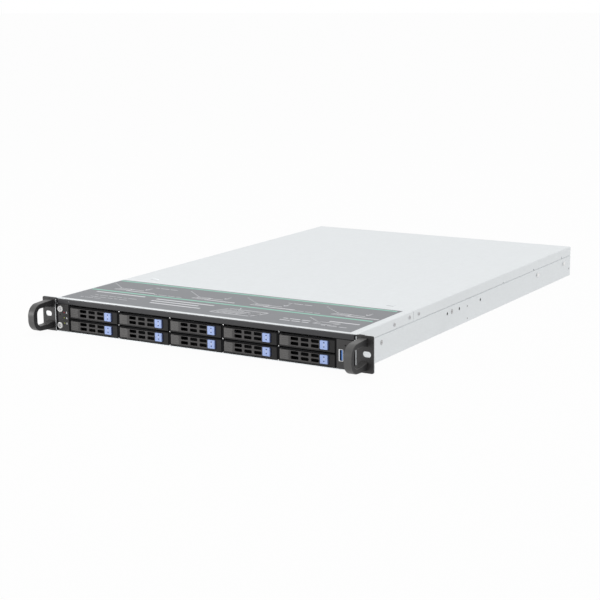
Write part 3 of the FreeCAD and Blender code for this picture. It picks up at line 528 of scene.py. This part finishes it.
def label():
    """A grey film with two mint lines, plain bars and line drawings."""
    left, right = -HALF + 3.0, HALF - 11.0
    near_edge, far_edge = 7.0, 138.5
    film = bmesh.new()
    cuboid(film, (left, FRONT + near_edge, TOP), (right, FRONT + far_edge, TOP + FILM))
    add("label_film_sheet", film, "chassis", LABEL)
    lines, drawing = bmesh.new(), bmesh.new()
    for back in (69.0, 132.5):
        stroke(lines, (left + 4, back), (right - 7, back), 4.6)
    for across in (-212, -88, 0, 116):
        picture_module(drawing, across, 80)
    for across in (-142, 62):
        dashes(drawing, across, 113, 32, 1, thick=1.6)
    dashes(drawing, -120, 77, 40, 1, thick=1.2)
    dashes(drawing, 84, 78, 40, 1, thick=1.2)
    stroke(drawing, (-196, 58), (-122, 58), 4.0)
    dashes(drawing, -186, 40, 60, 2, 10.0, 1.2)
    dashes(drawing, -196, 22, 30, 1, thick=1.0)
    for step, (across, end) in enumerate(((-98, -14), (-98, -30), (-92, -20))):
        stroke(drawing, (across, 55 - 11 * step), (end, 55 - 11 * step), 4.0)
    picture_board(drawing, 2, 24)
    dashes(drawing, 102, 36, 36, 2, 9.0, 2.6)
    dots(drawing, (128, 54), (150, 36), 6)
    path(drawing, slanted(146, 28, 26, 11), True, 1.4)
    stroke(drawing, (160, 46), (197, 46), 3.4)
    dashes(drawing, 160, 24, 30, 1, thick=1.6)
    add("label_lines", lines, "chassis", MINT)
    add("label_drawings", drawing, "chassis", INK)


# --- front panels ---

def front_panels():
    """The two panels, and the board behind the left one with its three lamps."""
    dress("control_panel", "chassis", POWDER, 0.25)
    dress("usb_panel", "chassis", POWDER, 0.25)
    lamps = []
    for solid in solids_of("control_board"):
        if size_of(solid).x > 5:
            board = solid
        else:
            lamps.append(solid)
    add("control_board_shown", ease(board, 0.1), "chassis", BOARD, ["control_board"])
    lamps.sort(key=lambda solid: -max(vert.co.z for vert in solid.verts))
    for number, (solid, material) in enumerate(zip(lamps, (RED_LAMP, GREEN_LAMP, GREEN_LAMP)), start=1):
        add(f"lamp_{number}", ease(solid, 0.3), "chassis", material)


def panel_gap_shade():
    """The wall's bright edge beside each ear, and painted shade: near-black strips in the gaps around the
    panels and a dark disc for the pinhole.
    """
    edges = bmesh.new()
    for start, low, high in ((-HALF - 1.75, 1.4, 36.3), (-HALF - 0.7, 36.9, 41.9), (HALF - 0.5, 1.4, 36.3),
                             (HALF - 0.3, 36.9, 41.9)):
        cuboid(edges, (start, FRONT - 0.15, FLOOR + low), (start + 0.75, FRONT + 1.0, FLOOR + high))
    cuboid(edges, (-HALF + 21.0, FRONT - 0.1, FLOOR + 39.0), (-HALF + 21.4, FRONT + 0.5, FLOOR + 41.0))
    add("wall_edges", ease(edges, 0.15), "chassis", ZINC)
    # Painted shade: near-black strips in the gaps beside and above the panels and beside the brow, and a dark
    # disc for the pinhole.
    shade_strips = bmesh.new()
    for node, start, end in (("control_panel", -HALF - 0.9, low_of("control_panel").x + 0.2),
                             ("usb_panel", high_of("usb_panel").x - 0.2, HALF)):
        cuboid(shade_strips, (start, FRONT - 0.05, low_of(node).z), (end, FRONT + 2.0, high_of(node).z))
    brow_low, brow_high = low_of("front_brow"), high_of("front_brow")
    for start, end in ((-HALF - 0.1, brow_low.x + 0.2), (brow_high.x - 0.2, HALF)):
        cuboid(shade_strips, (start, FRONT - 0.05, brow_low.z + 0.5), (end, FRONT + 2.0, brow_high.z - 0.3))
    for node, reach in (("control_panel", 7.0), ("usb_panel", 24.0)):
        low, high = low_of(node), high_of(node)
        end = min(low.x + reach, high.x)
        cuboid(shade_strips, (low.x, FRONT - 0.05, high.z - 0.5), (end, FRONT + 0.3, high.z + 0.3))
    sheet_cut(shade_strips, [circle(-HALF + 5.9, FLOOR + 22.2, 1.0)], FRONT - 0.04, FRONT + 0.1, "y")
    add("panel_gap_shade", ease(shade_strips, 0.05), "chassis", PAINTED_SHADE)


def panel_marks():
    """A small white mark to the right of each lamp."""
    marks = bmesh.new()
    across = -HALF + 16.7
    for up in (11.6, 18.5, 25.7):
        sheet_cut(marks, [[(across - 1.1, FLOOR + up - 1.2), (across + 1.1, FLOOR + up - 1.2),
                           (across + 0.3, FLOOR + up + 1.3), (across - 0.3, FLOOR + up + 1.3)]],
                  FRONT - 0.06, FRONT, "y")
    add("panel_marks", marks, "chassis", INK)


def push_button(name, symbol):
    """A turned cap with a grey symbol."""
    low, high = low_of(name), high_of(name)
    across, up = (low.x + high.x) / 2, (low.z + high.z) / 2
    radius = (high.x - low.x) / 2
    cap = bmesh.new()
    drum(cap, (across, low.y, up), radius, high.y - low.y, "y", sides=40)
    add(f"{name}_shown", ease(cap, 0.5, 3), name, SATIN, [name])
    mark = bmesh.new()
    for loops in symbol(across, up):
        sheet_cut(mark, loops, low.y - 0.04, low.y + 0.1, "y")
    add(f"{name}_mark", mark, name, GREY_INK)


def power_symbol(across, up):
    """A broken ring and a bar through its gap."""
    start, sweep, steps = 125, 290, 16
    outer, inner = 2.2, 1.6
    turns = [math.radians(start + sweep * step / steps) for step in range(steps + 1)]
    ring = [(across + outer * math.cos(turn), up + outer * math.sin(turn)) for turn in turns]
    ring += [(across + inner * math.cos(turn), up + inner * math.sin(turn)) for turn in reversed(turns)]
    return [[ring], [rounded(across - 0.3, up + 0.4, across + 0.3, up + 2.6, 0.2)]]


def ring_symbol(across, up):
    """A plain ring with a dot."""
    return [[circle(across, up, 2.0), circle(across, up, 1.4)], [circle(across, up, 0.6)]]


def front_socket():
    """The upright socket: metal shell, painted shade at the back of its inside, blue tongue, and a dark disc
    of painted shade for a small hole above it.
    """
    low, high = low_of("usb_port"), high_of("usb_port")
    wall, left_wall = 0.5, 1.2
    shell = bmesh.new()
    sheet_cut(shell, [rounded(low.x, low.z, high.x, high.z, 0.5),
                      rounded(low.x + left_wall, low.z + wall, high.x - wall, high.z - wall, 0.3)],
              low.y - 0.25, high.y - 1, "y")
    add("usb_port_shell", ease(shell, 0.12), "chassis", SHELL, ["usb_port"])
    # Painted shade: a near-black plate at the back of the socket's inside, and a dark disc for the small hole
    # above it.
    back = bmesh.new()
    cuboid(back, (low.x + wall, high.y - 2, low.z + wall), (high.x - wall, high.y - 1, high.z - wall))
    hole = (low.x + 8.5, FLOOR + 29.3)
    sheet_cut(back, [circle(*hole, 0.9)], FRONT - 0.03, FRONT + 0.1, "y")
    add("usb_port_inner_shade", back, "chassis", PAINTED_SHADE)
    tongue = bmesh.new()
    cuboid(tongue, (low.x + 3.0, low.y + 0.4, low.z + 1.0), (high.x - wall, high.y - 2, high.z - 1.0))
    add("usb_port_tongue", ease(tongue, 0.15), "chassis", SOCKET_BLUE)


# --- drive bays ---

def bay_lever(number, left, low):
    """The lever: hinge barrel, plate with six round-cornered vents, and a ribbed pad for the finger."""
    body = f"lever_{number}"
    node = f"tray_lever_{number}"
    start, end = low_of(node), high_of(node)
    vent_start, vent_end, vent_pitch, vent_height = 16.0, 26.6, 13.75, 4.1
    plate = 1.6
    shape = bmesh.new()
    holes = [rounded(left + vent_start + vent_pitch * column, low + level,
                     left + vent_end + vent_pitch * column, low + level + vent_height, 1.3)
             for column in range(3) for level in (2.9, 8.7)]
    sheet_cut(shape, [rounded(start.x + 0.3, start.z, end.x, end.z - 0.7, 0.5)] + holes,
              start.y, start.y + plate, "y")
    ease(shape, 0.25)
    knuckle = 2.0
    barrel = bmesh.new()
    drum(barrel, (start.x + knuckle, end.y - knuckle, start.z), knuckle, end.z - start.z, "z", sides=24)
    ease(barrel, 0.2)
    add(f"{node}_shown", joined([shape, barrel]), body, LEVER, [node])
    pad = bmesh.new()
    cuboid(pad, (start.x + 0.6, start.y - 0.15, start.z + 0.5), (left + 13.6, start.y + 0.6, end.z - 1.1))
    for step in range(5):
        up = start.z + 1.2 + 2.2 * step
        cuboid(pad, (start.x + 1.1, start.y - 0.55, up), (left + 13.0, start.y, up + 1.1))
    add(f"{node}_grip", ease(pad, 0.15), body, RIBBED)


def bay_button(number):
    """The light blue release, its shoulder dark blue as painted shade, and small marks."""
    node, body = f"tray_button_{number}", f"release_{number}"
    low, high = low_of(node), high_of(node)
    side = 1.4
    cap = bmesh.new()
    cuboid(cap, (low.x + 0.4, low.y, low.z), (high.x - side, high.y, high.z))
    add(f"{node}_shown", ease(cap, 0.45, 3), body, BLUE, [node])
    # Painted shade: the set-back right part of the button is dark blue for its side in shade.
    shoulder_shade = bmesh.new()
    cuboid(shoulder_shade, (high.x - side - 0.05, low.y + 0.9, low.z + 0.2), (high.x, high.y, high.z - 0.2))
    add(f"{node}_shoulder", ease(shoulder_shade, 0.3), body, BLUE_SHADE_AND_DOTS)
    middle = (low.x + high.x) / 2
    height = high.z - low.z
    round_marks = bmesh.new()
    for share in (0.3, 0.78):
        sheet_cut(round_marks, [circle(middle, low.z + share * height, 0.8, 16)],
                  low.y - 0.05, low.y + 0.1, "y")
    add(f"{node}_dots", round_marks, body, BLUE_SHADE_AND_DOTS)
    bars = bmesh.new()
    up = low.z + 0.54 * height
    for shift in (-0.9, 0.5):
        cuboid(bars, (middle + shift, low.y - 0.05, up - 1.3), (middle + shift + 0.4, low.y + 0.1, up + 1.3))
    add(f"{node}_bars", bars, body, INK)


def bay(number):
    """One drive tray with its drive, pin, lever and release."""
    node, body = f"drive_tray_{number}", f"tray_{number}"
    low = low_of(node)
    for solid in solids_of(node):
        size = size_of(solid)
        is_pin, is_drive = size.x < 5, size.z < 11
        if is_pin:
            add(f"tray_pin_{number}", ease(solid, 0.1), body, STEEL)
        elif is_drive:
            drive(number, solid)
        else:
            add(f"{node}_shown", ease(solid, 0.1), body, BEZEL, [node])
    # Painted shadow: a near-black strip along the top of the tray's face, for the gap below the part above.
    edge, high = bmesh.new(), high_of(node)
    cuboid(edge, (low.x + 0.1, low.y - 0.06, high.z - 1.4), (high.x - 0.1, low.y + 0.2, high.z - 0.02))
    add(f"tray_gap_shadow_{number}", edge, body, PAINTED_SHADE)
    bay_lever(number, low.x, low.z)
    bay_button(number)


def drive(number, solid):
    """The drive's metal case, with a near-black plate of painted shade on the end that faces the vents."""
    body = f"tray_{number}"
    size = size_of(solid)
    corner = corner_of(solid)
    add(f"drive_{number}", ease(solid, 0.5), body, DRIVE)
    # Painted shade: a near-black plate on the drive's end, seen through the vents.
    cap = bmesh.new()
    cuboid(cap, corner + Vector((1, -0.15, 0.5)), corner + Vector((size.x - 1, 0.1, size.z - 0.5)))
    add(f"drive_end_shade_{number}", cap, body, PAINTED_SHADE)


def cage_shade_and_tabs():
    """Painted shade: near-black strips on the cage's partitions, in the gaps between the tray columns; and
    three bright tabs between every two columns.
    """
    lefts = sorted({round(low_of(f"drive_tray_{number}").x, 3) for number in BAYS})
    width = high_of("drive_tray_01").x - low_of("drive_tray_01").x
    pitch = lefts[1] - lefts[0]
    gap = pitch - width
    front = low_of("drive_cage").y
    half_strip, tab_width, half_tab = 1.1, 1.1, 0.6
    shade_strips, tabs = bmesh.new(), bmesh.new()
    # Painted shade: near-black strips in the gaps between the tray columns.
    for left in lefts + [lefts[-1] + pitch]:
        middle = left - gap / 2
        cuboid(shade_strips, (middle - half_strip, front - 0.25, FLOOR + 1.2),
               (middle + half_strip, front + 3, FLOOR + 36.2))
    for left in lefts[1:]:
        for shift, up in ((0.2, 1.4), (0.5, 18.6), (1.2, 35.6)):
            start = left - gap / 2 + shift
            cuboid(tabs, (start, front - 0.5, FLOOR + up - half_tab),
                   (start + tab_width, front + 1, FLOOR + up + half_tab))
    add("cage_gap_shade", ease(shade_strips, 0.1), "chassis", PAINTED_SHADE)
    add("cage_tabs", ease(tabs, 0.15), "chassis", STEEL)


# --- inside ---

def inside():
    """What lies inside the case, apart from the supply and the rear sockets."""
    dress("drive_cage", "chassis", ZINC_INSIDE, 0.15)
    dress("drive_backplane", "chassis", BOARD, 0.1)
    dress("motherboard", "chassis", BOARD, 0.1)
    dress("processor_heatsinks", "chassis", FINS, 0.1, 1)
    dress("memory_modules", "chassis", BOARD, 0.15)
    frames, bracket = [], []
    for solid in solids_of("fan_wall"):
        (bracket if size_of(solid).x > 200 else frames).append(solid)
    add("fan_frames", ease(joined(frames), 0.3), "chassis", FAN, ["fan_wall"])
    add("fan_bracket", ease(joined(bracket), 0.15), "chassis", ZINC_INSIDE)
    for number in FANS:
        dress(f"fan_rotor_{number}", f"fan_rotor_{number}", FAN, 0.15)
    for solid in solids_of("riser_and_slot_cover"):
        if size_of(solid).x > 50:
            add("slot_cover", ease(solid, 0.15), "chassis", ZINC,
                ["riser_and_slot_cover"])
        else:
            add("riser_card", ease(solid, 0.1), "chassis", BOARD)


# --- rear ---

def supply_rear():
    """Case of the supply, painted shade behind the fan, the fan behind its guard bars, and the pins in its
    inlet.
    """
    dress("power_supply", "chassis", ZINC, 0.3)
    low, high = low_of("power_supply"), high_of("power_supply")
    fan_inset, inlet_inset = 28.0, 22.0
    fan = Vector((low.x + fan_inset, high.y, (low.z + high.z) / 2))
    # Painted shade: a near-black disc in the fan's housing, behind the blades.
    lining = bmesh.new()
    drum(lining, fan + Vector((0, -11.9, 0)), 13.9, 0.3, "y")
    add("supply_fan_shade", lining, "chassis", PAINTED_SHADE)
    blade_count, lean = 7, 35
    blades = bmesh.new()
    for turn in range(blade_count):
        blade = cuboid(blades, (6.5, -8.0, -0.5), (13.4, -3.0, 0.5))
        spin = Matrix.Translation(fan * MM) @ Matrix.Rotation(math.tau * turn / blade_count, 4, "Y")
        bmesh.ops.transform(blades, verts=blade, matrix=spin @ Matrix.Rotation(math.radians(lean), 4, "X"))
    drum(blades, fan + Vector((0, -9.0, 0)), 7.2, 7.5, "y")
    add("supply_fan_blades", ease(blades, 0.15), "chassis", FAN)
    inlet = Vector((high.x - inlet_inset, high.y, fan.z))
    lining = bmesh.new()
    cuboid(lining, inlet + Vector((-11.9, -14.9, -8.4)), inlet + Vector((11.9, -14.4, 8.4)))
    rim = [rounded(inlet.x - 12.4, inlet.z - 8.9, inlet.x + 12.4, inlet.z + 8.9, 2.0),
           rounded(inlet.x - 11.2, inlet.z - 7.7, inlet.x + 11.2, inlet.z + 7.7, 3.0)]
    sheet_cut(lining, rim, high.y - 14.0, high.y + 0.6, "y")
    add("supply_inlet_lining", ease(lining, 0.2), "chassis", CHIP)
    pins = bmesh.new()
    for across, up in ((-7.0, -1.0), (0.0, 2.0), (7.0, -1.0)):
        cuboid(pins, inlet + Vector((across - 1.0, -14.6, up - 2.0)),
               inlet + Vector((across + 1.0, -3.0, up + 2.0)))
    add("supply_inlet_pins", ease(pins, 0.3), "chassis", STEEL)


def rear_sockets():
    """Metal shells with the plastic and contacts of each socket, their faces set back a little."""
    for number, solid in enumerate(solids_of("rear_ports"), start=1):
        size = size_of(solid)
        corner = corner_of(solid)
        replaced = ["rear_ports"] if number == 1 else []
        is_video = size.x > 25
        set_back = 1.5 if is_video else 0.3
        for vert in solid.verts:
            if vert.co.y > (corner.y + size.y - 0.1) * MM:
                vert.co.y -= set_back * MM
        add(f"rear_socket_{number}", ease(solid, 0.2), "chassis", SHELL, replaced)
        if is_video:
            video_inside(corner, size)
        elif size.x < 15:
            stacked_inside(corner, size)
        else:
            jack_inside(number, corner, size)


def video_inside(corner, size):
    """Blue insert with three rows of holes, and a hexagonal stud on either side."""
    back = corner.y + size.y
    middle, up = corner.x + size.x / 2, corner.z + size.z / 2
    insert = bmesh.new()
    hole_pitch, row_pitch, row_shift = 2.3, 2.0, 0.6
    holes = [circle(middle + hole_pitch * (step - 2) + row_shift * (row % 2),
                    up + row_pitch * (row - 1), 0.45, 10)
             for row in range(3) for step in range(5)]
    sheet_cut(insert, [rounded(middle - 7.6, up - 3.4, middle + 7.6, up + 3.4, 1.5)] + holes,
              back - 5.9, back - 0.8, "y")
    add("video_insert", ease(insert, 0.15), "chassis", SOCKET_BLUE)
    studs = bmesh.new()
    for side in (-1, 1):
        across = middle + side * 12.5
        sheet_cut(studs, [circle(across, up, 2.4, 6), circle(across, up, 1.1, 16)], back - 1.7, back, "y")
    add("video_studs", ease(studs, 0.2), "chassis", STEEL)


def stacked_inside(corner, size):
    """Blue tongues with their contacts in the stacked pair of sockets."""
    tongues, contacts = bmesh.new(), bmesh.new()
    middle, back = corner.x + size.x / 2, corner.y + size.y
    wall, opening, pitch, contact_pitch = 0.7, 6.7, 7.4, 2.4
    for level in (0, 1):
        up = corner.z + wall + level * pitch + opening / 2
        cuboid(tongues, (middle - 5.9, back - 13.0, up - 1.1), (middle + 5.9, back - 0.6, up + 1.1))
        for step in range(4):
            across = middle + contact_pitch * (step - 1.5)
            cuboid(contacts, (across - 0.5, back - 10.0, up - 1.25), (across + 0.5, back - 1.4, up - 1.05))
    add("usb_pair_tongues", ease(tongues, 0.2), "chassis", SOCKET_BLUE)
    add("usb_pair_contacts", contacts, "chassis", GOLD)


def jack_inside(number, corner, size):
    """A near-black plate of painted shade at the back, eight contacts and two lamps of a network socket."""
    middle, back = corner.x + size.x / 2, corner.y + size.y
    # Painted shade: a near-black plate deep at the back of the socket.
    lining = bmesh.new()
    cuboid(lining, (middle - 5.8, back - 12.9, corner.z + 2.1), (middle + 5.8, back - 12.6, corner.z + 10.1))
    add(f"jack_back_shade_{number}", lining, "chassis", PAINTED_SHADE)
    contact_pitch, contact_count = 1.02, 8
    contacts = bmesh.new()
    for step in range(contact_count):
        across = middle + contact_pitch * (step - (contact_count - 1) / 2)
        cuboid(contacts, (across - 0.22, back - 12.0, corner.z + 2.0),
               (across + 0.22, back - 2.5, corner.z + 2.5))
    add(f"jack_contacts_{number}", contacts, "chassis", GOLD)
    lamp_shift = 5.2
    for side, lens in ((-1, AMBER_LAMP), (1, GREEN_LAMP)):
        light = bmesh.new()
        across = middle + side * lamp_shift
        cuboid(light, (across - 1.5, back - 0.8, corner.z + 11.0),
               (across + 1.5, back - 0.05, corner.z + 12.8))
        add(f"jack_lamp_{number}_{'left' if side < 0 else 'right'}", ease(light, 0.2), "chassis",
            lens)


# --- setting ---

def camera():
    """The camera as it was fitted to the photograph."""
    lens = bpy.data.cameras.new("camera")
    lens.lens = 89.053
    lens.sensor_width = 36.0
    lens.shift_x = 0.0035
    lens.shift_y = -0.0014
    lens.clip_end = 50.0
    view = bpy.data.objects.new("camera", lens)
    right = Vector((0.85897, 0.51196, -0.00787))
    up = -Vector((0.09610, -0.17629, -0.97964))
    back = -Vector((-0.50292, 0.84073, -0.20063))
    turn = Matrix((right, up, back)).transposed().to_4x4()
    view.matrix_world = Matrix.Translation((1.00442, -1.44387, 0.39916)) @ turn
    bpy.context.scene.collection.objects.link(view)
    bpy.context.scene.camera = view


def seen_directly(tree):
    """1 for rays from the camera and for those that metal and glass send out."""
    rays = tree.nodes.new("ShaderNodeLightPath")
    total = rays.outputs["Is Camera Ray"]
    for kind in ("Is Glossy Ray", "Is Transmission Ray"):
        larger = tree.nodes.new("ShaderNodeMath")
        larger.operation = "MAXIMUM"
        tree.links.new(total, larger.inputs[0])
        tree.links.new(rays.outputs[kind], larger.inputs[1])
        total = larger.outputs["Value"]
    return total


def surroundings():
    """A white backdrop that lights the object at a lower level."""
    world = bpy.data.worlds.new("studio")
    bpy.context.scene.world = world
    world.use_nodes = True
    tree = world.node_tree
    sky = tree.nodes["Background"]
    sky.inputs["Color"].default_value = (1, 1, 1, 1)
    tree.links.new(spread(tree, seen_directly(tree), 0.60, 1.0), sky.inputs["Strength"])


def floor():
    """A pale floor whose colour goes to the backdrop's white, with the object's shadow kept faint."""
    material, tree, shader = shader_of("pale_floor")
    shader.inputs["Base Color"].default_value = (0.95, 0.95, 0.95, 1)
    shader.inputs["Roughness"].default_value = 0.8
    glow = tree.nodes.new("ShaderNodeEmission")
    glow.inputs["Color"].default_value = (1, 1, 1, 1)
    mix = tree.nodes.new("ShaderNodeMixShader")
    tree.links.new(spread(tree, seen_directly(tree), 0.0, 0.95), mix.inputs["Fac"])
    tree.links.new(shader.outputs["BSDF"], mix.inputs[1])
    tree.links.new(glow.outputs["Emission"], mix.inputs[2])
    tree.links.new(mix.outputs["Shader"], tree.nodes["Material Output"].inputs["Surface"])
    shape = bmesh.new()
    bmesh.ops.create_grid(shape, x_segments=1, y_segments=1, size=30.0)
    mesh = bpy.data.meshes.new("floor")
    shape.to_mesh(mesh)
    shape.free()
    mesh.materials.append(material)
    ground = bpy.data.objects.new("floor", mesh)
    ground.location = (0, 0, (FLOOR - 0.05) * MM)
    bpy.context.scene.collection.objects.link(ground)


def area_light(name, place, size, power, tint=(1, 1, 1)):
    """A square soft light that faces the middle of the case."""
    light = bpy.data.lights.new(name, "AREA")
    light.size = size
    light.energy = power
    light.color = tint
    holder = bpy.data.objects.new(name, light)
    place = Vector(place)
    aim = Vector((0, 0.3, 0)) - place
    holder.location = place
    holder.rotation_euler = aim.to_track_quat("-Z", "Y").to_euler()
    bpy.context.scene.collection.objects.link(holder)


def lights():
    """Three soft lights, with colours shown as they are."""
    area_light("overhead", (0.0, 0.4, 2.2), 2.4, 9)
    area_light("front_left", (-1.3, -1.1, 0.32), 0.7, 9)
    area_light("right", (2.2, 0.0, 0.9), 1.4, 3, (1, 0.95, 0.84))
    bpy.context.scene.view_settings.view_transform = "Standard"


case()
side_screws()
side_marks()
label()
front_panels()
panel_gap_shade()
panel_marks()
push_button("power_button", power_symbol)
push_button("ident_button", ring_symbol)
front_socket()
for bay_number in BAYS:
    bay(bay_number)
cage_shade_and_tabs()
inside()
supply_rear()
rear_sockets()
camera()
surroundings()
floor()
lights()
